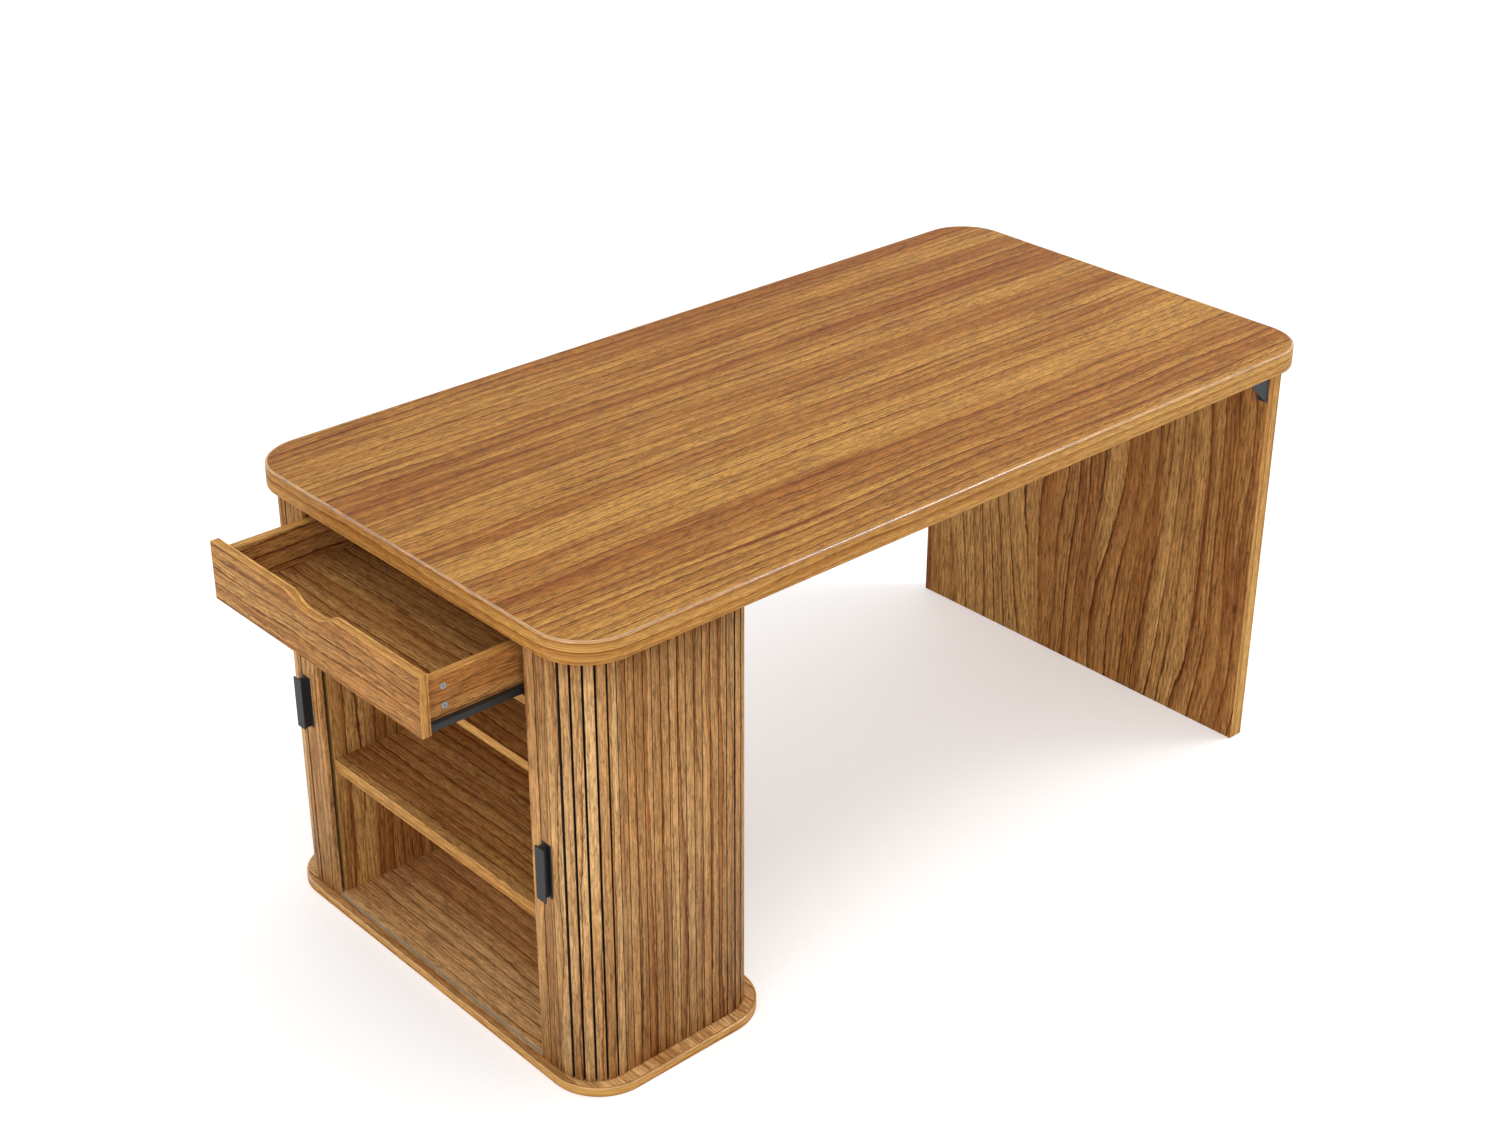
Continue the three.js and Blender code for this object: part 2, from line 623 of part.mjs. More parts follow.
function makeDrawerFront() {
  const low = DRAWER_DECK_TOP + FRONT_BOTTOM_GAP;
  const high = FRONT_TOP;
  const half = INSIDE - FRONT_SIDE_GAP;
  const floor = high - SCOOP_DEPTH;
  const ease = (SCOOP_HALF + SCOOP_FLAT_HALF) / 2;
  const shape = new THREE.Shape();
  shape.moveTo(-half, low);
  shape.lineTo(half, low);
  shape.lineTo(half, high);
  shape.lineTo(SCOOP_HALF, high);
  shape.bezierCurveTo(ease, high, ease, floor, SCOOP_FLAT_HALF, floor);
  shape.lineTo(-SCOOP_FLAT_HALF, floor);
  shape.bezierCurveTo(-ease, floor, -ease, high, -SCOOP_HALF, high);
  shape.lineTo(-half, high);
  shape.closePath();
  add("drawer_front", alongX(shape, -FRONT_FACE, FRONT_INNER, BOARD_EASE), WOOD, drawer);
}

const camPlace = (sign, z) => [FRONT_INNER + CAM_SETBACK, sign * DRAWER_HALF, z];
const camHeights = CAM_RISES.map((rise) => DRAWER_SIDE_BOTTOM + rise);

function makeDrawerBox() {
  const inner = DRAWER_HALF - BOARD;
  const floor = DRAWER_SIDE_BOTTOM + DRAWER_BOTTOM_RISE;
  for (const { word, sign } of SIDES) {
    const outward = new THREE.Vector3(0, sign, 0);
    const side = rectangle(DRAWER_SIDE_BOTTOM, DRAWER_SIDE_TOP, FRONT_INNER, DRAWER_BACK);
    const board = alongY(side, sign * inner, sign * DRAWER_HALF, BOARD_EASE);
    const camHole = () => rod(CAM_DIAMETER / 2 + SEAT, -CAM_DEPTH, SEAT);
    const holes = camHeights.map((z) => aimed(camHole(), outward, camPlace(sign, z)));
    add(`drawer_side_${word}`, cut(board, ...holes), WOOD, drawer);
    camHeights.forEach((z, index) => {
      const cam = cut(rod(CAM_DIAMETER / 2, -CAM_DEPTH, 0), ...crossRecess(CAM_RECESS, 0));
      add(`drawer_cam_${word}_${index + 1}`, aimed(cam, outward, camPlace(sign, z)), STEEL, drawer);
    });
  }
  const back = rectangle(-inner, inner, DRAWER_SIDE_BOTTOM, DRAWER_SIDE_TOP);
  add("drawer_back", alongX(back, DRAWER_BACK - BOARD, DRAWER_BACK, BOARD_EASE), WOOD, drawer);
  const bottom = rectangle(FRONT_INNER, DRAWER_BACK - BOARD, -inner, inner);
  add("drawer_bottom", alongZ(bottom, floor, floor + DRAWER_BOTTOM_THICKNESS), WOOD, drawer);
}

// ---------------------------------------------------------------- roller slides
const FLANGE_TOP = DRAWER_SIDE_BOTTOM + SLIDE_WEB_HEIGHT;
const FLANGE_UNDER = FLANGE_TOP - SLIDE_METAL;
const CHANNEL_BOTTOM = DRAWER_DECK_TOP + CHANNEL_RISE;
const CHANNEL_TOP = FLANGE_UNDER - CHANNEL_TOP_CLEAR;
const CHANNEL_START = FRONT_INNER + SLIDE_SETBACK;
const CHANNEL_END = DRAWER_BACK + SLIDE_OVERRUN;
const CHANNEL_DEPTH = INSIDE - DRAWER_HALF - SLIDE_METAL - 2 * SEAT;
const FIXED_AXLE_X = CHANNEL_START + ROLLER_INSET;
const MOVING_AXLE_X = DRAWER_BACK - ROLLER_INSET;
const FIXED_ROLLER = (FLANGE_UNDER - CHANNEL_BOTTOM - SLIDE_METAL - 2 * SEAT) / 2;
const FIXED_AXLE_Z = FLANGE_UNDER - SEAT - FIXED_ROLLER;
const MOVING_ROLLER = (CHANNEL_TOP - CHANNEL_BOTTOM - 2 * SLIDE_METAL - 2 * SEAT) / 2;
const MOVING_AXLE_Z = (CHANNEL_TOP + CHANNEL_BOTTOM) / 2;

// A stub axle or a roller along Y, from the wall face at y, reaching in by the given depths.
function axle(x, z, sign, from, to) {
  const direction = new THREE.Vector3(0, Math.sign(to - from) * sign, 0);
  return aimed(rod(AXLE_RADIUS, 0, Math.abs(to - from)), direction, [x, sign * from, z]);
}

function roller(radius, x, z, sign, from, to) {
  const ring = cut(
    rod(radius, 0, Math.abs(to - from)),
    rod(AXLE_RADIUS + SEAT, -SEAT, Math.abs(to - from) + SEAT),
  );
  const direction = new THREE.Vector3(0, Math.sign(to - from) * sign, 0);
  return aimed(ring, direction, [x, sign * from, z]);
}

function makeSlides() {
  for (const { word, sign } of SIDES) {
    const wall = INSIDE;
    const web = wall - SLIDE_METAL;
    const lip = wall - CHANNEL_DEPTH;
    const full = [
      [wall, CHANNEL_BOTTOM],
      [wall, CHANNEL_TOP],
      [lip, CHANNEL_TOP],
      [lip, CHANNEL_TOP - SLIDE_METAL],
      [web, CHANNEL_TOP - SLIDE_METAL],
      [web, CHANNEL_BOTTOM + SLIDE_METAL],
      [lip, CHANNEL_BOTTOM + SLIDE_METAL],
      [lip, CHANNEL_BOTTOM],
    ].map(([y, z]) => [sign * y, z]);
    const mouth = new THREE.BoxGeometry(
      2 * (ROLLER_INSET + FIXED_ROLLER + SEAT),
      2 * (CHANNEL_DEPTH - SLIDE_METAL),
      CHANNEL_MOUTH,
    ).translate(CHANNEL_START, sign * lip, CHANNEL_TOP);
    const channel = cut(alongX(outline(full), CHANNEL_START, CHANNEL_END), mouth);
    const fixedAxle = axle(FIXED_AXLE_X, FIXED_AXLE_Z, sign, wall - SLIDE_METAL / 2, lip);
    add(`cabinet_slide_${word}`, join(channel, fixedAxle), BLACK_METAL);
    const fixedFrom = web - SEAT;
    const fixed = roller(
      FIXED_ROLLER, FIXED_AXLE_X, FIXED_AXLE_Z, sign, fixedFrom, fixedFrom - ROLLER_WIDTH,
    );
    add(`cabinet_roller_${word}`, fixed, ROLLER_PLASTIC);

    const face = DRAWER_HALF;
    const moving = [
      [face, DRAWER_SIDE_BOTTOM],
      [face, FLANGE_TOP],
      [face + SLIDE_METAL + SLIDE_FLANGE, FLANGE_TOP],
      [face + SLIDE_METAL + SLIDE_FLANGE, FLANGE_UNDER],
      [face + SLIDE_METAL, FLANGE_UNDER],
      [face + SLIDE_METAL, DRAWER_SIDE_BOTTOM - SLIDE_METAL],
      [face - BOARD, DRAWER_SIDE_BOTTOM - SLIDE_METAL],
      [face - BOARD, DRAWER_SIDE_BOTTOM],
    ].map(([y, z]) => [sign * y, z]);
    const movingWeb = face + SLIDE_METAL;
    const member = join(
      alongX(outline(moving), FRONT_INNER, DRAWER_BACK),
      axle(
        MOVING_AXLE_X, MOVING_AXLE_Z, sign,
        movingWeb - SLIDE_METAL / 2, movingWeb + ROLLER_WIDTH + 2 * SEAT,
      ),
    );
    add(`drawer_slide_${word}`, member, BLACK_METAL, drawer);
    const from = movingWeb + SEAT;
    const rear = roller(
      MOVING_ROLLER, MOVING_AXLE_X, MOVING_AXLE_Z, sign, from, from + ROLLER_WIDTH,
    );
    add(`drawer_roller_${word}`, rear, ROLLER_PLASTIC, drawer);
  }
}

makeTabletop();
makeBasePlate();
makeLegPanel();
makeLegBrackets();
makeCarcass();
makeStemRails();
makeTracks();
makeCurtains();
makeHandles();
makeDrawerFront();
makeDrawerBox();
makeSlides();

export default unit;
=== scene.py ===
"""The looks of the kitchen island unit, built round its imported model.

Wood-grained boards with banded edges, slatted curtains on their cloth, black pulls and brackets,
steel fasteners and pale guide strips. Metres, in the model's frame: +X runs along the table, +Z is
up, and the cabinet opens towards -X.
"""

import json
import math
import random

import bmesh
import bpy
from mathutils import Matrix, Vector
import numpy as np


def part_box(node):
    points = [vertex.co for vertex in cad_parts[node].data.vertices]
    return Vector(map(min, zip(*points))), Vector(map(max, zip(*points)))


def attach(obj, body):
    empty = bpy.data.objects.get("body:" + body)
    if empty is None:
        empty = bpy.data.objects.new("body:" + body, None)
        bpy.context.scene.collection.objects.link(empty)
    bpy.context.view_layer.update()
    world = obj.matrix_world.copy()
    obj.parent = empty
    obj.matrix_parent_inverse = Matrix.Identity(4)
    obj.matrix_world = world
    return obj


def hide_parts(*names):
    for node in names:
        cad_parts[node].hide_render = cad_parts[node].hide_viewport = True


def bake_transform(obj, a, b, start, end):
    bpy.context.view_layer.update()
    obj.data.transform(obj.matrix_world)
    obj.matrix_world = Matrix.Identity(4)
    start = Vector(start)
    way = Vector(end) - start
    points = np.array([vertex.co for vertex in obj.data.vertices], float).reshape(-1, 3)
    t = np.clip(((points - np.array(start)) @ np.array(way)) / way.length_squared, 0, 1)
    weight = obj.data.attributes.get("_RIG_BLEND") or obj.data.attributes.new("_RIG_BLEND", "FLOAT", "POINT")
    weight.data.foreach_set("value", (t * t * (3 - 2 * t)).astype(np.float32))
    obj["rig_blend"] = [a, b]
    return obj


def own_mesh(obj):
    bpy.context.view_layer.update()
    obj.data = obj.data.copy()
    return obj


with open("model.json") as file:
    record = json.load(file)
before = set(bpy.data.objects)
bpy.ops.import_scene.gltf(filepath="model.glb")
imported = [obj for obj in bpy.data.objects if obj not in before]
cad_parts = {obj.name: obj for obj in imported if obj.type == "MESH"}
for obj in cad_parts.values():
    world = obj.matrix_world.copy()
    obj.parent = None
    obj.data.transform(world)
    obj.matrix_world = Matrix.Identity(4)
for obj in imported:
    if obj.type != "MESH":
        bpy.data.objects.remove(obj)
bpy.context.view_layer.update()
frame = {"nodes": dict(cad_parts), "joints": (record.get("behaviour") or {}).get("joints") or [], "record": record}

MM = 0.001
SIDES = {"left": 1, "right": -1}
JOINTS = {joint["name"]: joint for joint in frame["joints"]}
BODIES = frame["record"]["behaviour"]["bodies"]
BODY_OF = {node: body for body, nodes in BODIES.items() for node in nodes}
SLOT_OF = {part["node"]: part["material_slot"] for part in frame["record"]["subparts"]}


# ------------------------------------------------------------------ node graphs
class Graph:
    """A shader node tree, with one short call for each node."""

    def __init__(self, tree):
        self.tree = tree

    def feed(self, socket, value):
        if isinstance(value, bpy.types.NodeSocket):
            self.tree.links.new(value, socket)
        else:
            socket.default_value = value

    def node(self, kind, inputs=None, **settings):
        made = self.tree.nodes.new("ShaderNode" + kind)
        for name, value in settings.items():
            setattr(made, name, value)
        for key, value in (inputs or {}).items():
            self.feed(made.inputs[key], value)
        return made

    def math(self, operation, *values):
        return self.node("Math", dict(enumerate(values)), operation=operation).outputs[0]

    def vector(self, operation, *values):
        return self.node("VectorMath", dict(enumerate(values)), operation=operation).outputs[0]

    def noise(self, place, scale, detail=2.0, roughness=0.5):
        """Noise from 0 to 1 whose features are 1 / scale metres across along each axis."""
        where = self.vector("MULTIPLY", place, scale)
        inputs = {"Vector": where, "Scale": 1.0, "Detail": detail, "Roughness": roughness}
        return self.node("TexNoise", inputs).outputs["Fac"]

    def swing(self, place, scale, detail, reach):
        """Noise that runs from about -reach / 2 to reach / 2."""
        return self.math("MULTIPLY", self.math("SUBTRACT", self.noise(place, scale, detail), 0.5), reach)

    def total(self, *values):
        whole = values[0]
        for value in values[1:]:
            whole = self.math("ADD", whole, value)
        return whole

    def product(self, *values):
        whole = values[0]
        for value in values[1:]:
            whole = self.math("MULTIPLY", whole, value)
        return whole

    def smooth(self, value, low, high, start=0.0, end=1.0):
        """value between low and high, eased to run from start to end."""
        inputs = {"Value": value, "From Min": low, "From Max": high, "To Min": start, "To Max": end}
        return self.node("MapRange", inputs, interpolation_type="SMOOTHSTEP").outputs[0]

    def mix(self, factor, first, second, blend="MIX"):
        made = self.node("Mix", data_type="RGBA", blend_type=blend)
        for index, value in ((0, factor), (6, first), (7, second)):
            self.feed(made.inputs[index], value)
        return made.outputs[2]

    def bump(self, height, strength, distance):
        inputs = {"Height": height, "Strength": strength, "Distance": distance}
        return self.node("Bump", inputs).outputs[0]


def colour(code):
    """The linear colour of a #rrggbb code."""
    channels = [int(code[i : i + 2], 16) / 255 for i in (1, 3, 5)]
    linear = [c / 12.92 if c <= 0.04045 else ((c + 0.055) / 1.055) ** 2.4 for c in channels]
    return (*linear, 1.0)


def new_material(name):
    material = bpy.data.materials.new(name)
    material.use_nodes = True
    return material, Graph(material.node_tree), material.node_tree.nodes["Principled BSDF"]


# ------------------------------------------------------------------ wood
RING_BAND = 22 * MM  # between the strong dark lines
FINE_LINES = 3.3  # faint lines to each strong one
LINE = (0.84, 0.95)  # where in its ring a strong line starts and peaks
FINE_LINE = (0.5, 0.85)
FAINTEST_LINE = 0.3
LATE_WOOD = 0.35  # where in its ring the darker wood starts
RUDDY_RINGS = (0.6, 0.95)  # the random values between which a ring turns red
TONE_SEED = 0.5
RED_SEED = 7.5

# Noise that moves the lines, in features to the metre along the grain, across it and through the
# board, and how far it moves them, in rings.
GRAIN_BEND, BEND_REACH = (2.0, 4.5, 4.5), 1.0
GRAIN_SPACING, SPACING_REACH = (0.3, 15, 15), 1.7
GRAIN_RIPPLE, RIPPLE_REACH = (7, 24, 24), 0.55
GRAIN_JAG, JAG_REACH = (70, 300, 300), 0.16
LINE_STRAY, STRAY_REACH = (5, 40, 40), 1.2  # of the fine lines, in their own spacing

# Noise that shades the wood, and the two values between which its mark grows from nothing to full.
BROAD, BROAD_RISE = (0.7, 9, 9), (0.34, 0.66)
STREAK, STREAK_RISE = (3.2, 46, 46), (0.5, 0.7)
LINE_FADE, LINE_FADE_RISE = (2.4, 17, 17), (0.32, 0.6)
FINE_FADE, FINE_FADE_RISE = (4, 34, 34), (0.36, 0.62)
PORE, PORE_RISE = (62, 470, 470), (0.54, 0.66)
FIBRE, FIBRE_RISE = (34, 330, 330), (0.25, 0.75)

# The strength of each mark: 1 reaches its full tone.
RING_PALE, BROAD_PALE, LATE_DARK = 0.6, 0.6, 0.35
STREAK_RED, RING_RED = 0.6, 0.7
LINE_DARK, FINE_DARK, PORE_DARK = 0.95, 0.5, 0.58
FIBRE_SHADES = (0.6, 1.44)  # the factors of the darkest and the palest fibre
STRIPE_PALE = 0.5
STRIPE_RED = 0.3  # the share of red marks that stays in a pale stripe
FIBRE_RELIEF, PORE_RELIEF, LINE_RELIEF = 0.7, 0.8, 0.4
GLOSS_RISE = (0.2, 0.8)  # of the noise that makes a gloss uneven
WOOD_ROUGHNESS = (0.38, 0.52)

WOOD_INPUTS = {
    "Place": "NodeSocketVector",
    "Figure": "NodeSocketFloat",
    "Contrast": "NodeSocketFloat",
    "Pale": "NodeSocketFloat",
    "Light": "NodeSocketColor",
    "Middle": "NodeSocketColor",
    "Dark": "NodeSocketColor",
    "Red": "NodeSocketColor",
}
WOOD_OUTPUTS = {"Color": "NodeSocketColor", "Height": "NodeSocketFloat", "Roughness": "NodeSocketFloat"}


def ring_phase(graph, place, figure):
    """How many rings each point lies in from the start, with their bends and uneven widths."""
    across = graph.node("SeparateXYZ", {0: place}).outputs[1]
    bend = graph.product(graph.swing(place, GRAIN_BEND, 1.0, BEND_REACH), figure)
    spacing = graph.swing(place, GRAIN_SPACING, 1.0, SPACING_REACH)
    ripple = graph.swing(place, GRAIN_RIPPLE, 2.0, RIPPLE_REACH)
    jag = graph.swing(place, GRAIN_JAG, 1.0, JAG_REACH)
    return graph.total(graph.math("DIVIDE", across, RING_BAND), bend, spacing, ripple, jag)


def lines(graph, phase, start, peak):
    """A dark line at the end of each whole step of a phase: soft before it, sharp after it."""
    step = graph.math("FRACT", phase)
    rise = graph.smooth(step, start, peak)
    return graph.math("MULTIPLY", rise, graph.smooth(step, 1.0, (1 + peak) / 2))


def ring_tone(graph, phase, seed):
    """One random value for each ring."""
    inputs = {"W": graph.math("ADD", graph.math("FLOOR", phase), seed)}
    return graph.node("TexWhiteNoise", inputs, noise_dimensions="1D").outputs["Value"]


def wood_body(graph, place, phase, given):
    """The bands of lighter, darker and redder wood between the lines."""
    broad = graph.smooth(graph.noise(place, BROAD, 1.0), *BROAD_RISE)
    late = graph.smooth(graph.math("FRACT", phase), LATE_WOOD, 1.0)
    tone = ring_tone(graph, phase, TONE_SEED)
    pale_rings = graph.math("MULTIPLY", tone, RING_PALE)
    level = graph.total(pale_rings, graph.math("MULTIPLY", broad, BROAD_PALE))
    level = graph.math("SUBTRACT", level, graph.math("MULTIPLY", late, LATE_DARK))
    level = graph.math("ADD", level, given["Pale"])
    body = graph.mix(level, given["Middle"], given["Light"])
    streak = graph.smooth(graph.noise(place, STREAK, 3.0, 0.6), *STREAK_RISE)
    ruddy = graph.smooth(ring_tone(graph, phase, RED_SEED), *RUDDY_RINGS)
    red_streaks = graph.math("MULTIPLY", streak, STREAK_RED)
    red = graph.total(red_streaks, graph.product(ruddy, late, RING_RED))
    outside = graph.smooth(given["Pale"], 0.0, STRIPE_PALE, 1.0, STRIPE_RED)
    return graph.mix(graph.product(red, given["Contrast"], outside), body, given["Red"])


def wood_group():
    """Sliced wood. Place is in metres: X along the grain, Y across it. Figure bends the lines."""
    tree = bpy.data.node_groups.new("sliced_wood", "ShaderNodeTree")
    for name, kind in WOOD_INPUTS.items():
        tree.interface.new_socket(name, in_out="INPUT", socket_type=kind)
    for name, kind in WOOD_OUTPUTS.items():
        tree.interface.new_socket(name, in_out="OUTPUT", socket_type=kind)
    graph = Graph(tree)
    given = tree.nodes.new("NodeGroupInput").outputs
    result = tree.nodes.new("NodeGroupOutput")
    place, contrast = given["Place"], given["Contrast"]
    phase = ring_phase(graph, place, given["Figure"])

    fade = graph.smooth(graph.noise(place, LINE_FADE, 1.0), *LINE_FADE_RISE, FAINTEST_LINE, 1.0)
    line = graph.product(lines(graph, phase, *LINE), fade)
    stray = graph.swing(place, LINE_STRAY, 2.0, STRAY_REACH)
    fine_phase = graph.math("ADD", graph.math("MULTIPLY", phase, FINE_LINES), stray)
    fine_fade = graph.smooth(graph.noise(place, FINE_FADE, 1.0), *FINE_FADE_RISE)
    fine_line = graph.product(lines(graph, fine_phase, *FINE_LINE), fine_fade)
    fibre = graph.noise(place, FIBRE, 3.0, 0.75)
    pore = graph.smooth(graph.noise(place, PORE, 2.0, 0.6), *PORE_RISE)

    body = wood_body(graph, place, phase, given)
    body = graph.mix(graph.product(line, contrast, LINE_DARK), body, given["Dark"])
    body = graph.mix(graph.product(fine_line, contrast, FINE_DARK), body, given["Dark"])
    body = graph.mix(graph.product(pore, contrast, PORE_DARK), body, given["Dark"])
    body = graph.mix(1.0, body, graph.smooth(fibre, *FIBRE_RISE, *FIBRE_SHADES), "MULTIPLY")

    pore_dips = graph.math("MULTIPLY", pore, PORE_RELIEF)
    dips = graph.total(pore_dips, graph.math("MULTIPLY", line, LINE_RELIEF))
    height = graph.math("SUBTRACT", graph.math("MULTIPLY", fibre, FIBRE_RELIEF), dips)
    graph.feed(result.inputs["Color"], body)
    graph.feed(result.inputs["Height"], height)
    graph.feed(result.inputs["Roughness"], graph.smooth(fibre, *GLOSS_RISE, *WOOD_ROUGHNESS))
    return tree


WOOD = wood_group()
FACE_TONES = {"Light": "#d0a060", "Middle": "#a9703a", "Dark": "#532c13", "Red": "#8a4c22"}
SLAT_TONES = {"Light": "#e3b67c", "Middle": "#c48e55", "Dark": "#633a1b", "Red": "#a66330"}
TOP_TONES = {"Light": "#c48f47", "Middle": "#9f622a", "Dark": "#562b12", "Red": "#84451b"}
BAND_TONES = {"Light": "#d5a45c", "Middle": "#bd8443", "Dark": "#70431a", "Red": "#9b5e28"}
WOOD_SPECULAR = 0.07
WOOD_BUMP, WOOD_BUMP_DEPTH = 0.5, 0.25 * MM
SEED_SHIFT = (3.7, 1.93, 0.71)  # metres of veneer between one seed and the next
STRIPE_WANDER = (2, 6, 6)  # noise, in features to the metre
WANDER_SHARE = 0.4  # of the stripe's half width
STRIPE_CORE = 0.6  # the share of its half width that is fully pale
BAND_SQUEEZE = 1.7  # how much closer the lines lie in an edge band than in a face
BAND_SHIFT = (1.37, 0.53)
BAND_FIGURE, BAND_CONTRAST = 0.8, 0.6
SLAT_FIGURE, SLAT_CONTRAST = 1.6, 0.85
ARRIS_IOR = 2.0
ARRIS_ROUGHNESS = 0.12


def finish_wood(graph, surface, place, tones, figure, contrast, dim=None, pale=0.0):
    """Feeds the wood group's colour, sheen and relief to a surface. dim darkens it by a factor."""
    inputs = {"Place": place, "Figure": figure, "Contrast": contrast, "Pale": pale}
    inputs |= {name: colour(code) for name, code in tones.items()}
    wood = graph.node("Group", node_tree=WOOD)
    for name, value in inputs.items():
        graph.feed(wood.inputs[name], value)
    body = wood.outputs["Color"]
    if dim is not None:
        body = graph.mix(1.0, body, dim, "MULTIPLY")
    graph.feed(surface.inputs["Base Color"], body)
    graph.feed(surface.inputs["Roughness"], wood.outputs["Roughness"])
    relief = graph.bump(wood.outputs["Height"], WOOD_BUMP, WOOD_BUMP_DEPTH)
    graph.feed(surface.inputs["Normal"], relief)
    surface.inputs["Specular IOR Level"].default_value = WOOD_SPECULAR


def own_place(graph):
    return graph.node("TexCoord").outputs["Object"]


def laid_place(graph, order, seed, coarse):
    """The object's own coordinates, reordered to along, across and through, and shifted by a seed."""
    parts = graph.node("SeparateXYZ", {0: own_place(graph)}).outputs
    ordered = {index: parts["XYZ".index(axis)] for index, axis in enumerate(order)}
    place = graph.node("CombineXYZ", ordered).outputs[0]
    place = graph.vector("DIVIDE", place, (coarse, coarse, coarse))
    return graph.vector("ADD", place, [seed * shift for shift in SEED_SHIFT])


def pale_stripe(graph, middle, slope, half):
    """1 inside a soft stripe of paler wood that lies along X, and 0 outside it."""
    parts = graph.node("SeparateXYZ", {0: own_place(graph)}).outputs
    line = graph.math("MULTIPLY_ADD", parts["X"], slope, middle)
    wander = graph.swing(own_place(graph), STRIPE_WANDER, 2.0, WANDER_SHARE * half)
    offset = graph.math("SUBTRACT", graph.math("ADD", parts["Y"], wander), line)
    return graph.smooth(graph.math("ABSOLUTE", offset), half, STRIPE_CORE * half)


def laminate(
    name, order, seed, figure=1.5, contrast=0.95, coarse=1.0, stripe=None, tones=FACE_TONES
):
    """A board's face. order names its axes along the grain, across it and through the board."""
    material, graph, surface = new_material(name)
    place = laid_place(graph, order, seed, coarse)
    pale = graph.math("MULTIPLY", pale_stripe(graph, *stripe), STRIPE_PALE) if stripe else 0.0
    finish_wood(graph, surface, place, tones, figure, contrast, pale=pale)
    return material


def edge_band(name, through, seed):
    """A board's banded edge: nearly straight lines that run along it, stacked through the board."""
    material, graph, surface = new_material(name)
    parts = graph.node("SeparateXYZ", {0: own_place(graph)}).outputs
    others = [parts[axis] for axis in "XYZ" if axis != through]
    along = graph.math("ADD", *others)
    across = graph.math("MULTIPLY_ADD", parts[through], BAND_SQUEEZE, seed * BAND_SHIFT[0])
    place = graph.node("CombineXYZ", {0: along, 1: across, 2: seed * BAND_SHIFT[1]}).outputs[0]
    finish_wood(graph, surface, place, BAND_TONES, BAND_FIGURE, BAND_CONTRAST)
    return material


def glossy_arris(name, through, seed):
    """The eased corner of an edge band, where its lacquer lies thick."""
    material = edge_band(name, through, seed)
    surface = material.node_tree.nodes["Principled BSDF"]
    surface.inputs["Coat Weight"].default_value = 1.0
    surface.inputs["Coat IOR"].default_value = ARRIS_IOR
    surface.inputs["Coat Roughness"].default_value = ARRIS_ROUGHNESS
    return material


def slat_wood():
    """The curtains' slats, cut from one veneered sheet, each with a small shift of tone."""
    material, graph, surface = new_material("slat_wood")
    place = graph.node("Attribute", attribute_name="sheet").outputs["Vector"]
    tone = graph.node("Attribute", attribute_name="slat_tone").outputs["Fac"]
    dim = graph.mix(tone, colour("#dcd5d0"), colour("#ffffff"))
    finish_wood(graph, surface, place, SLAT_TONES, SLAT_FIGURE, SLAT_CONTRAST, dim)
    return material


def seam_wood():
    """The dark glue line between a face and its edge band."""
    material, graph, surface = new_material("seam")
    speckle = graph.noise(own_place(graph), (40, 40, 40), 2.0)
    graph.feed(surface.inputs["Base Color"], graph.mix(speckle, colour("#80501f"), colour("#9a6a34")))
    surface.inputs["Roughness"].default_value = 0.6
    return material


# ------------------------------------------------------------------ metal, plastic, cloth
CLOUD = (18, 18, 18)  # slow changes of tone, in features to the metre
GLOSS_SPREAD = 0.08
FINISH_BUMP_DEPTH = 0.1 * MM


def speckled(name, dark, light, grain, roughness, relief, metallic=0.0, stretch=(1, 1, 1)):
    """A plain finish with fine grain: two close colours, uneven gloss and a little relief."""
    material, graph, surface = new_material(name)
    place = own_place(graph)
    fine = graph.noise(place, [grain * share for share in stretch], 3.0, 0.6)
    cloud = graph.noise(place, CLOUD, 2.0)
    graph.feed(surface.inputs["Base Color"], graph.mix(cloud, colour(dark), colour(light)))
    sheen = graph.smooth(fine, *GLOSS_RISE, roughness - GLOSS_SPREAD, roughness + GLOSS_SPREAD)
    graph.feed(surface.inputs["Roughness"], sheen)
    graph.feed(surface.inputs["Normal"], graph.bump(fine, relief, FINISH_BUMP_DEPTH))
    surface.inputs["Metallic"].default_value = metallic
    return material


BLACK_METAL = speckled("black_metal", "#1b1e21", "#2a2e32", 1500, 0.42, 0.25)
STEEL = speckled("steel", "#8f9296", "#c3c6c9", 900, 0.3, 0.15, metallic=1.0, stretch=(1, 1, 8))
TRACK_PLASTIC = speckled("track_plastic", "#c3b49c", "#d3c6b0", 700, 0.5, 0.1)
ROLLER_PLASTIC = speckled("roller_plastic", "#d9d9d4", "#ecece8", 500, 0.35, 0.08)
CLOTH = speckled("backing_cloth", "#15110e", "#241c16", 2200, 0.9, 0.6)
SLAT_WOOD = slat_wood()
# Painted shade: a near-black finish for the slats' flanks, standing in for the shade in the gaps between slats.
SLAT_SHADED_FLANK = speckled("slat_flank_painted_shade", "#1f130a", "#39230f", 600, 0.8, 0.4)
SEAM = seam_wood()
FINISH = {"black_metal": BLACK_METAL, "steel": STEEL, "roller_plastic": ROLLER_PLASTIC}


# ------------------------------------------------------------------ mesh helpers
LEAST_TURN = math.radians(25)  # flatter edges than this aren't rounded


def made_object(name, bm, materials):
    """A new object from a bmesh, with faces turned outward."""
    bmesh.ops.recalc_face_normals(bm, faces=bm.faces)
    mesh = bpy.data.meshes.new(name)
    bm.to_mesh(mesh)
    bm.free()
    for material in materials:
        mesh.materials.append(material)
    obj = bpy.data.objects.new(name, mesh)
    bpy.context.scene.collection.objects.link(obj)
    return obj


def dress(obj, node):
    """obj rides with the body of the node that it replaces, and the node is hidden."""
    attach(obj, BODY_OF[node])
    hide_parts(node)
    return obj


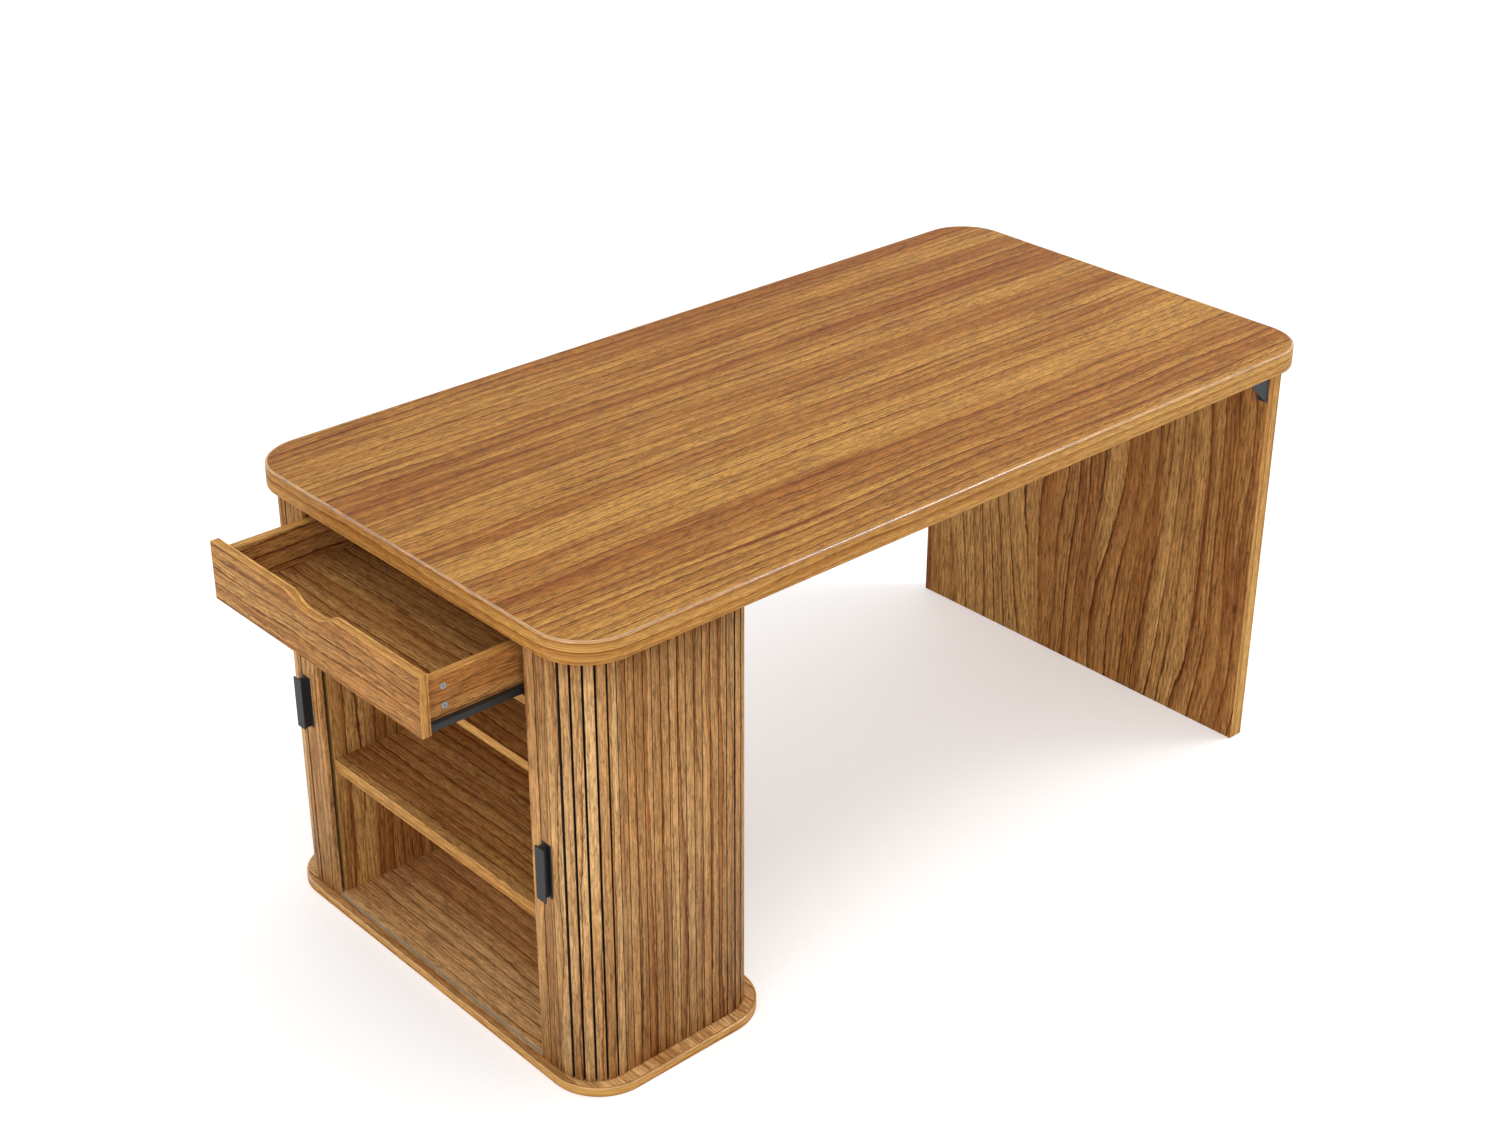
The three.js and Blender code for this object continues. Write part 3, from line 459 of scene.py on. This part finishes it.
def round_edges(bm, width, segments):
    sharp = [edge for edge in bm.edges if edge.is_manifold and edge.calc_face_angle() > LEAST_TURN]
    bmesh.ops.bevel(
        bm, geom=sharp, offset=width, segments=segments, profile=0.5, affect="EDGES", clamp_overlap=True
    )


def cut_away(obj, cutters):
    """Cuts other objects out of obj and removes them."""
    for cutter in cutters:
        modifier = obj.modifiers.new("cut", "BOOLEAN")
        modifier.operation = "DIFFERENCE"
        modifier.solver = "EXACT"
        modifier.object = cutter
    bpy.context.view_layer.update()
    cut = bpy.data.meshes.new_from_object(obj.evaluated_get(bpy.context.evaluated_depsgraph_get()))
    obj.modifiers.clear()
    obj.data = cut
    for cutter in cutters:
        bpy.data.objects.remove(cutter)


# ------------------------------------------------------------------ boards
BOARD_ARRIS, BOARD_ARRIS_STEPS = 0.7 * MM, 3
PIECE_ARRIS, PIECE_ARRIS_STEPS = 0.25 * MM, 2
MERGE_WITHIN = 0.01 * MM
FLAT_WITHIN = math.radians(1)
FACE_ON = 0.9  # how squarely a face looks through the board, up to 1


def board_looks(node, order, seed, looks):
    """The veneer of a board's faces, then the band of its edges."""
    return [laminate(f"wood_{node}", order, seed, **looks), edge_band(f"band_{node}", order[2], seed)]


def board(node, order, seed, **looks):
    """A flat board in a node's place, its faces veneered and its four narrow sides banded."""
    low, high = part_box(node)
    bm = bmesh.new()
    bmesh.ops.create_cube(bm, size=1.0)
    place = Matrix.Translation((low + high) / 2) @ Matrix.Diagonal((*(high - low), 1))
    bmesh.ops.transform(bm, matrix=place, verts=bm.verts)
    through = "XYZ".index(order[2])
    for face in bm.faces:
        face.material_index = 0 if abs(face.normal[through]) > FACE_ON else 1
    round_edges(bm, BOARD_ARRIS, BOARD_ARRIS_STEPS)
    dress(made_object(f"{node}_board", bm, board_looks(node, order, seed, looks)), node)


def dressed(node, materials):
    """A copy of a node's solid with its facets merged and its edges rounded."""
    bm = bmesh.new()
    bm.from_mesh(frame["nodes"][node].data)
    bmesh.ops.remove_doubles(bm, verts=bm.verts, dist=MERGE_WITHIN)
    bmesh.ops.dissolve_limit(bm, angle_limit=FLAT_WITHIN, verts=bm.verts, edges=bm.edges)
    round_edges(bm, PIECE_ARRIS, PIECE_ARRIS_STEPS)
    return dress(made_object(f"{node}_piece", bm, materials), node)


def dressed_board(node, order, seed, **looks):
    """As dressed, for a shaped board: its faces are veneered and the rest is banded."""
    obj = dressed(node, board_looks(node, order, seed, looks))
    through = "XYZ".index(order[2])
    for polygon in obj.data.polygons:
        polygon.material_index = 0 if abs(polygon.normal[through]) > FACE_ON else 1


# ------------------------------------------------------------------ tabletop and base plate
PLATE_CORNER = 85 * MM
TOP_ARRIS = 2.6 * MM
BASE_ARRIS = 1.5 * MM
CORNER_STEPS = 24
ARRIS_STEPS = 5
BAND_THICKNESS = 1.4 * MM
SEAM_WIDTH = 0.5 * MM


def plate_ring(low, high, inset):
    """The rounded rectangle between two corners, pulled in by an inset."""
    points = []
    centres = [
        (high.x - PLATE_CORNER, high.y - PLATE_CORNER),
        (low.x + PLATE_CORNER, high.y - PLATE_CORNER),
        (low.x + PLATE_CORNER, low.y + PLATE_CORNER),
        (high.x - PLATE_CORNER, low.y + PLATE_CORNER),
    ]
    radius = PLATE_CORNER - inset
    for quarter, (x, y) in enumerate(centres):
        for step in range(CORNER_STEPS + 1):
            angle = math.pi / 2 * (quarter + step / CORNER_STEPS)
            points.append((x + radius * math.cos(angle), y + radius * math.sin(angle)))
    return points


def plate_levels(low, high, arris):
    """(inset, height, material of the strip above) from the underside to the top face."""
    face, band, seam, gloss = 0, 1, 2, 3
    border = arris + BAND_THICKNESS
    turns = [math.pi / 2 * step / ARRIS_STEPS for step in range(ARRIS_STEPS + 1)]
    eased = [(arris * (1 - math.sin(turn)), arris * (1 - math.cos(turn))) for turn in turns]
    levels = [(border + SEAM_WIDTH, low.z, seam), (border, low.z, band)]
    levels += [(inset, low.z + rise, band) for inset, rise in eased]
    levels += [(inset, high.z - rise, gloss) for inset, rise in reversed(eased)]
    return levels + [(border, high.z, seam), (border + SEAM_WIDTH, high.z, face)]


def plate(node, order, seed, arris, groove_ends, **looks):
    """A rounded plate with a banded, eased edge, a fine seam just inside it, and two grooves."""
    low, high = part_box(node)
    bm = bmesh.new()
    levels = plate_levels(low, high, arris)
    rings = []
    for inset, z, _ in levels:
        rings.append([bm.verts.new((x, y, z)) for x, y in plate_ring(low, high, inset)])
    for (ring, above), (_, _, index) in zip(zip(rings, rings[1:]), levels):
        for k in range(len(ring)):
            after = (k + 1) % len(ring)
            face = bm.faces.new((ring[k], ring[after], above[after], above[k]))
            face.material_index = index
            face.smooth = True
    bm.faces.new(reversed(rings[0]))
    bm.faces.new(rings[-1])
    band = edge_band(f"band_{node}", "Z", seed)
    gloss = glossy_arris(f"arris_{node}", "Z", seed)
    materials = [laminate(f"wood_{node}", order, seed, **looks), band, SEAM, gloss]
    obj = made_object(f"{node}_board", bm, materials)
    cut_away(obj, [groove_cutter(word, *groove_ends) for word in SIDES])
    dress(obj, node)


# ------------------------------------------------------------------ the curtains' line
SLAT_THICKNESS = 7.5 * MM
CURTAIN_BEND = 54 * MM  # radius of the cloth in the corners
CELL_GAP = 0.6 * MM  # between the model's slats
SLAT_GAP = 1.0 * MM
TRAVEL_SLATS = 18  # that come out of the corner as a door closes
TRAVEL = JOINTS["door_left_slide"]["range_m"][1]
SLAT_PITCH = TRAVEL / TRAVEL_SLATS
BEND_RUN = math.pi / 2 * CURTAIN_BEND
BEND_STEPS = 16

side_low, side_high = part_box("tambour_side_left")
lead_low, lead_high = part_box("tambour_front_left")
CLOTH_FRONT = side_low.x + SLAT_THICKNESS
CLOTH_REAR = side_high.x - SLAT_THICKNESS
CLOTH_SIDE = side_high.y - SLAT_THICKNESS
FIRST_BEND = CLOTH_SIDE - CURTAIN_BEND
FLANK = FIRST_BEND + BEND_RUN
SECOND_BEND = FLANK + CLOTH_REAR - CLOTH_FRONT - 2 * CURTAIN_BEND
REAR_RUN = SECOND_BEND + BEND_RUN
CURTAIN_HALF = REAR_RUN + FIRST_BEND


def curtain_point(s, offset, sign):
    """The point s along the cloth from the front's centre, moved outward, its tangent and normal."""
    turn, x, y = 0.0, CLOTH_FRONT, s
    if s > REAR_RUN:
        turn, x, y = math.pi, CLOTH_REAR, CURTAIN_HALF - s
    elif s > SECOND_BEND:
        turn = math.pi / 2 + (s - SECOND_BEND) / CURTAIN_BEND
        x = CLOTH_REAR - CURTAIN_BEND * (1 + math.cos(turn))
        y = FIRST_BEND + CURTAIN_BEND * math.sin(turn)
    elif s > FLANK:
        turn, x, y = math.pi / 2, CLOTH_FRONT + CURTAIN_BEND + s - FLANK, CLOTH_SIDE
    elif s > FIRST_BEND:
        turn = (s - FIRST_BEND) / CURTAIN_BEND
        x = CLOTH_FRONT + CURTAIN_BEND * (1 - math.cos(turn))
        y = FIRST_BEND + CURTAIN_BEND * math.sin(turn)
    tangent = Vector((math.sin(turn), sign * math.cos(turn)))
    normal = Vector((-math.cos(turn), sign * math.sin(turn)))
    return Vector((x, sign * y)) + normal * offset, tangent, normal


def curtain_stops(start, end):
    """Distances along the line, close together in the bends."""
    stops = {start, end}
    for bend in (FIRST_BEND, SECOND_BEND):
        stops |= {bend + BEND_RUN * step / BEND_STEPS for step in range(BEND_STEPS + 1)}
    return sorted(s for s in stops if start <= s <= end)


def swept(name, section, start, end, sign, materials):
    """A strip along the curtains' line with a section of (offset, height) points."""
    bm = bmesh.new()
    rings = []
    for s in curtain_stops(start, end):
        points = [(curtain_point(s, offset, sign)[0], z) for offset, z in section]
        rings.append([bm.verts.new((*at, z)) for at, z in points])
    for ring, after in zip(rings, rings[1:]):
        for k in range(len(section)):
            other = (k + 1) % len(section)
            bm.faces.new((ring[k], ring[other], after[other], after[k]))
    bm.faces.new(rings[0])
    bm.faces.new(rings[-1])
    return made_object(name, bm, materials)


# ------------------------------------------------------------------ guide tracks and their grooves
TRACK_WIDTH = 4 * MM
TRACK_SLOT = 2.2 * MM
TRACK_DEPTH = 5.5 * MM
TRACK_FLOOR = 1 * MM
TRACK_GAP = 6 * MM
SEAT = 0.3 * MM
TRACK_LINE = SLAT_THICKNESS / 2


def groove_cutter(word, low, high):
    near = TRACK_LINE - TRACK_WIDTH / 2 - SEAT
    far = TRACK_LINE + TRACK_WIDTH / 2 + SEAT
    section = [(near, low), (far, low), (far, high), (near, high)]
    ends = TRACK_GAP / 2 - SEAT
    return swept(f"groove_{word}", section, ends, CURTAIN_HALF - ends, SIDES[word], [])


def track(place, word, face, sink):
    """A channel strip sunk from a plate's face by a signed depth, open towards the curtain."""
    wide, slot = TRACK_WIDTH / 2, TRACK_SLOT / 2
    under, bed = face + sink, face + sink - math.copysign(TRACK_FLOOR, sink)
    outline = [(-wide, face), (-wide, under), (wide, under), (wide, face)]
    outline += [(slot, face), (slot, bed), (-slot, bed), (-slot, face)]
    section = [(TRACK_LINE + offset, z) for offset, z in outline]
    name = f"track_{place}_{word}"
    ends = TRACK_GAP / 2, CURTAIN_HALF - TRACK_GAP / 2
    dress(swept(f"{name}_strip", section, *ends, SIDES[word], [TRACK_PLASTIC]), name)


# ------------------------------------------------------------------ slats
SLAT_ROUND = 1.1 * MM
ROUND_STEPS = 4
SHADED_FACES = 2  # painted shade, on each side of a slat: its flank and the start of its round take a near-black finish for the shade in the gap
CLOTH_THICKNESS = 0.8 * MM
END_CLEARANCE = 1 * MM
SHEET_SHIFT = {"left": 2.3, "right": 0.0}  # a different stretch of veneer for each side

BASE_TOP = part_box("base_plate")[1].z
TOP_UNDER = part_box("tabletop")[0].z
SLAT_LOW = BASE_TOP + END_CLEARANCE
SLAT_HIGH = TOP_UNDER - END_CLEARANCE
LEAD_START = lead_low.y - CELL_GAP / 2
SIDE_START = lead_high.y + CELL_GAP / 2
WIDE_PITCH = (SIDE_START - LEAD_START) / 2
SIDE_SLATS = math.ceil((REAR_RUN - SIDE_START - WIDE_PITCH) / SLAT_PITCH)
BACK_START = SIDE_START + WIDE_PITCH + SIDE_SLATS * SLAT_PITCH

SLAT_SEED = 20
slat_random = random.Random(SLAT_SEED)


def slat_section(half):
    """The outline of a slat as (along, out) points: square at the cloth, rounded in front."""
    points = [(-half, 0.0)]
    for corner, start in ((-1, math.pi), (1, math.pi / 2)):
        for step in range(ROUND_STEPS + 1):
            angle = start - math.pi / 2 * step / ROUND_STEPS
            along = corner * (half - SLAT_ROUND) + SLAT_ROUND * math.cos(angle)
            points.append((along, SLAT_THICKNESS - SLAT_ROUND + SLAT_ROUND * math.sin(angle)))
    return points + [(half, 0.0)]


def add_slat(bm, centre, half, word, free_edge):
    """One slat, with its place on the veneer sheet and its own tone kept on its vertices.

    Its flanks carry painted shade, a near-black finish for the shade in the gaps between slats, except for a free
    edge that leads the curtain.
    """
    sheet = bm.verts.layers.float_vector["sheet"]
    tone_layer = bm.verts.layers.float["slat_tone"]
    tone = slat_random.random()
    sign = SIDES[word]
    at, tangent, normal = curtain_point(centre, 0, sign)
    rings = []
    for z in (SLAT_LOW, SLAT_HIGH):
        ring = []
        for along, out in slat_section(half):
            spot = at + tangent * along + normal * out
            vertex = bm.verts.new((*spot, z))
            vertex[sheet] = (z + SHEET_SHIFT[word], centre + along + SHEET_SHIFT[word], out)
            vertex[tone_layer] = tone
            ring.append(vertex)
        rings.append(ring)
    low, high = rings
    last = len(low) - 1  # the face against the cloth, after the far flank
    for k in range(len(low)):
        after = (k + 1) % len(low)
        face = bm.faces.new((low[k], low[after], high[after], high[k]))
        face.smooth = 1 <= k <= last - 3
        # Painted shade: flanks inside a gap, and the start of their rounds, take the near-black flank finish.
        dark = k > last - 2 - SHADED_FACES or (k < SHADED_FACES and not free_edge)
        face.material_index = int(dark)
    bm.faces.new(reversed(low))
    bm.faces.new(high)


def slat_mesh(cells, word):
    bm = bmesh.new()
    bm.verts.layers.float_vector.new("sheet")
    bm.verts.layers.float.new("slat_tone")
    for centre, width in cells:
        leads = abs(centre - width / 2 - LEAD_START) < CELL_GAP
        add_slat(bm, centre, (width - SLAT_GAP) / 2, word, leads)
    return bm


def cells_from(start, widths):
    """(centre, width) of cells laid end to end along the line."""
    cells, edge = [], start
    for width in widths:
        cells.append((edge + width / 2, width))
        edge += width
    return cells


def backing(name, start, end, word):
    inner = -CLOTH_THICKNESS
    section = [(inner, SLAT_LOW), (0, SLAT_LOW), (0, SLAT_HIGH), (inner, SLAT_HIGH)]
    return swept(name, section, start, end, SIDES[word], [CLOTH])


def curtain_run(name, node, cells, word):
    """A run of slats and its cloth, which replace a node."""
    slats = dress(made_object(name, slat_mesh(cells, word), [SLAT_WOOD, SLAT_SHADED_FLANK]), node)
    start = cells[0][0] - cells[0][1] / 2
    end = cells[-1][0] + cells[-1][1] / 2
    cloth = backing(f"{name}_cloth", start, end, word)
    dress(cloth, node)
    return slats, cloth


FOLD = 0.4 * MM  # the width of the run behind an open door, in the middle of a gap between slats
WAIT = SIDE_START + FOLD / 2


def fold(vertices, sign):
    """Moves vertices laid out for a closed door to where they wait while it is open.

    A blend eases from one end to the other by 3 t^2 - 2 t^3, and t here undoes that.
    """
    for vertex in vertices:
        share = (WAIT - abs(vertex.co.y)) / (TRAVEL + FOLD)
        t = 0.5 - math.sin(math.asin(1 - 2 * share) / 3)
        vertex.co.y = sign * (WAIT - FOLD * t)


def front_run(word):
    """The slats that follow a door out of the corner. Their cells are even once it is closed."""
    sign = SIDES[word]
    start = SIDE_START - TRAVEL
    cells = cells_from(start, [SLAT_PITCH] * TRAVEL_SLATS)
    name = f"curtain_follow_{word}"
    slats = made_object(name, slat_mesh(cells, word), [SLAT_WOOD, SLAT_SHADED_FLANK])
    cloth = backing(f"{name}_cloth", start, SIDE_START, word)
    for obj in (slats, cloth):
        fold(obj.data.vertices, sign)
        ends = {"start": (0, sign * WAIT, 0), "end": (0, sign * (WAIT - FOLD), 0)}
        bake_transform(obj, "carcass", f"door_{word}", **ends)


def curtains():
    for word, sign in SIDES.items():
        lead = cells_from(LEAD_START, [WIDE_PITCH] * 2)
        side = cells_from(SIDE_START, [WIDE_PITCH] + [SLAT_PITCH] * SIDE_SLATS)
        back = cells_from(BACK_START, [SLAT_PITCH] * TRAVEL_SLATS)
        curtain_run(f"curtain_lead_{word}", f"tambour_front_{word}", lead, word)
        curtain_run(f"curtain_side_{word}", f"tambour_side_{word}", side, word)
        for obj in curtain_run(f"curtain_back_{word}", f"tambour_back_{word}", back, word):
            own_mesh(obj)
        front_run(word)


# ------------------------------------------------------------------ everything in place
TOP_STRIPE = (-0.118, -0.03, 0.048)  # its middle at X 0, its slope and its half width
TOP_LOOKS = {"figure": 1.2, "coarse": 0.8, "stripe": TOP_STRIPE, "tones": TOP_TONES}


def boards():
    """Every board. Its number picks its stretch of veneer."""
    top_groove = TOP_UNDER - SEAT, TOP_UNDER + TRACK_DEPTH
    base_groove = BASE_TOP - TRACK_DEPTH, BASE_TOP + SEAT
    plate("tabletop", "XYZ", 1, TOP_ARRIS, top_groove, **TOP_LOOKS)
    plate("base_plate", "YXZ", 2, BASE_ARRIS, base_groove, contrast=0.7, tones=SLAT_TONES)
    board("leg_panel", "ZYX", 3, figure=5.0, contrast=1.0, coarse=1.4)
    for seed, node in enumerate(("side_panel_left", "side_panel_right"), 4):
        board(node, "ZXY", seed)
    board("back_panel", "ZYX", 6)
    for seed, node in enumerate(("mid_shelf", "bottle_shelf", "drawer_deck"), 7):
        board(node, "YXZ", seed)
    for index in range(1, 5):
        dressed_board(f"stem_rail_{index}", "XYZ", 10 + index)
    dressed_board("drawer_front", "YZX", 16)
    for seed, node in enumerate(("drawer_side_left", "drawer_side_right"), 17):
        dressed_board(node, "XZY", seed)
    board("drawer_back", "YZX", 19)
    board("drawer_bottom", "YXZ", 20)


def tracks():
    for word in SIDES:
        track("bottom", word, BASE_TOP, -TRACK_DEPTH)
        track("top", word, TOP_UNDER, TRACK_DEPTH)


def hardware():
    """Every metal node and roller, as a copy with rounded edges."""
    for node, slot in SLOT_OF.items():
        if slot in FINISH:
            dressed(node, [FINISH[slot]])


# ------------------------------------------------------------------ stage, light and camera
CAMERA_PLACE = Vector((-1.7531, -2.4753, 2.2553))
CAMERA_AZIMUTH = math.radians(-42.04)
CAMERA_ELEVATION = math.radians(27.85)
CAMERA_ROLL = math.radians(0.11)
CAMERA_LENS = 56.685
SENSOR = 36.0
SIGHT = 60  # how far the camera sees
WHITE = (1, 1, 1, 1)
WORLD_STRENGTH = 0.86
FLOOR_GREY = (0.9, 0.9, 0.9, 1)
FLOOR_ROUGHNESS = 0.9
FLOOR_GLOW = 0.35
FLOOR_REACH = 30
FLOOR_DROP = 0.2 * MM  # below the part
LAMPS = (
    # name, what it faces, direction to it, distance, diameter, energy
    ("key", Vector((0.6, 0, 0.7)), Vector((0.59, -0.30, 0.75)), 4, 1.2, 42),
    ("fill", Vector((-0.15, 0, 0.35)), Vector((-0.84, -0.39, 0.37)), 2.6, 1.4, 14),
)


def camera():
    azimuth, elevation = CAMERA_AZIMUTH, CAMERA_ELEVATION
    back = Vector((
        math.sin(azimuth) * math.cos(elevation),
        -math.cos(azimuth) * math.cos(elevation),
        math.sin(elevation),
    ))
    right = (-back).cross(Vector((0, 0, 1))).normalized()
    up = back.cross(right)
    turn = Matrix((right, up, back)).transposed() @ Matrix.Rotation(CAMERA_ROLL, 3, "Z")
    data = bpy.data.cameras.new("camera")
    data.lens = CAMERA_LENS
    data.sensor_width = SENSOR
    data.clip_end = SIGHT
    obj = bpy.data.objects.new("camera", data)
    obj.matrix_world = Matrix.Translation(CAMERA_PLACE) @ turn.to_4x4()
    bpy.context.scene.collection.objects.link(obj)
    bpy.context.scene.camera = obj


def floor():
    material, graph, surface = new_material("pale_floor")
    surface.inputs["Base Color"].default_value = FLOOR_GREY
    surface.inputs["Roughness"].default_value = FLOOR_ROUGHNESS
    sight = graph.node("LightPath").outputs["Is Camera Ray"]
    surface.inputs["Emission Color"].default_value = WHITE
    graph.feed(surface.inputs["Emission Strength"], graph.math("MULTIPLY", sight, FLOOR_GLOW))
    bm = bmesh.new()
    bmesh.ops.create_grid(bm, x_segments=2, y_segments=2, size=FLOOR_REACH)
    ground = made_object("floor", bm, [material])
    ground.location.z = -FLOOR_DROP


def sky():
    """An even white surround, a little weaker as a light than as a background."""
    world = bpy.data.worlds.new("studio")
    bpy.context.scene.world = world
    world.use_nodes = True
    graph = Graph(world.node_tree)
    path = graph.node("LightPath").outputs
    mirrored = graph.math("MAXIMUM", path["Is Glossy Ray"], path["Is Transmission Ray"])
    seen = graph.math("MAXIMUM", path["Is Camera Ray"], mirrored)
    strength = graph.math("MULTIPLY_ADD", seen, 1 - WORLD_STRENGTH, WORLD_STRENGTH)
    background = world.node_tree.nodes["Background"]
    background.inputs["Color"].default_value = WHITE
    graph.feed(background.inputs["Strength"], strength)


def lamps():
    for name, target, direction, distance, diameter, energy in LAMPS:
        lamp = bpy.data.lights.new(name, "AREA")
        lamp.shape = "DISK"
        lamp.size = diameter
        lamp.energy = energy
        obj = bpy.data.objects.new(name, lamp)
        obj.location = target + direction.normalized() * distance
        obj.rotation_euler = direction.to_track_quat("Z", "Y").to_euler()
        bpy.context.scene.collection.objects.link(obj)


camera()
floor()
sky()
lamps()
boards()
tracks()
curtains()
hardware()
bpy.context.scene.view_settings.view_transform = "Standard"
